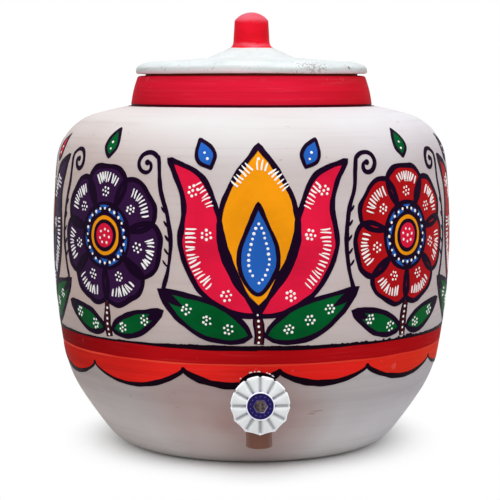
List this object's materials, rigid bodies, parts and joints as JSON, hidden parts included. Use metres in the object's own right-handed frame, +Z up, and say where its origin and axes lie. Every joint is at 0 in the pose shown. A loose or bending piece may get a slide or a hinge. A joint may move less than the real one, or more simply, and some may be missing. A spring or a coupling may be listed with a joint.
{
  "type": "clay water pot with tap",
  "caption": "Round painted clay drinking-water pot with a loose domed lid and a plastic screw-down tap low on its front.",
  "frame": {"origin": "centre of the pot's flat base, on the surface it stands on", "axes": "+Z up through the lid's knob; the tap points along -Y, so -Y is the front"},
  "size_m": [0.28, 0.3082, 0.3008],
  "materials": {
    "painted_clay": "satin off-white paint on earthenware, brush lines round the pot",
    "lid_clay": "matt white paint on hand-made earthenware, red knob",
    "brown_plastic": "moulded brown plastic, semi-gloss",
    "white_plastic": "moulded white plastic, semi-gloss",
    "purple_plastic": "moulded purple plastic disc",
    "black_rubber": "moulded sealing rubber",
    "spring_steel": "plain spring steel clip",
    "brass": "plain turned nut"
  },
  "bodies": {
    "pot": {"pot_body": "painted_clay", "tap_body": "brown_plastic", "outer_gasket": "black_rubber", "inner_gasket": "black_rubber", "lock_nut": "white_plastic", "bonnet": "brown_plastic", "bonnet_seal": "black_rubber"},
    "lid": {"lid": "lid_clay"},
    "valve": {"jumper": "white_plastic", "valve_washer": "black_rubber", "washer_nut": "brass"},
    "knob": {"spindle": "brown_plastic", "stem_ring": "black_rubber", "tap_knob": "white_plastic", "knob_clip": "spring_steel", "knob_disc": "purple_plastic"}
  },
  "joints": [
    {"name": "lid_lift", "type": "slide", "parent": "pot", "child": "lid", "axis": [0, 0, 1], "range_m": [0, 0.12]},
    {"name": "valve_lift", "type": "slide", "parent": "pot", "child": "valve", "axis": [0, -1, 0], "range_m": [0, 0.004]},
    {"name": "knob_turn", "type": "hinge", "parent": "valve", "child": "knob", "pos_m": [0, -0.15, 0.054], "axis": [0, -1, 0], "range_deg": [0, 360]}
  ],
  "couplings": [
    {"joint": "valve_lift", "follows": "knob_turn", "m_per_rad": 0.0006366}
  ]
}
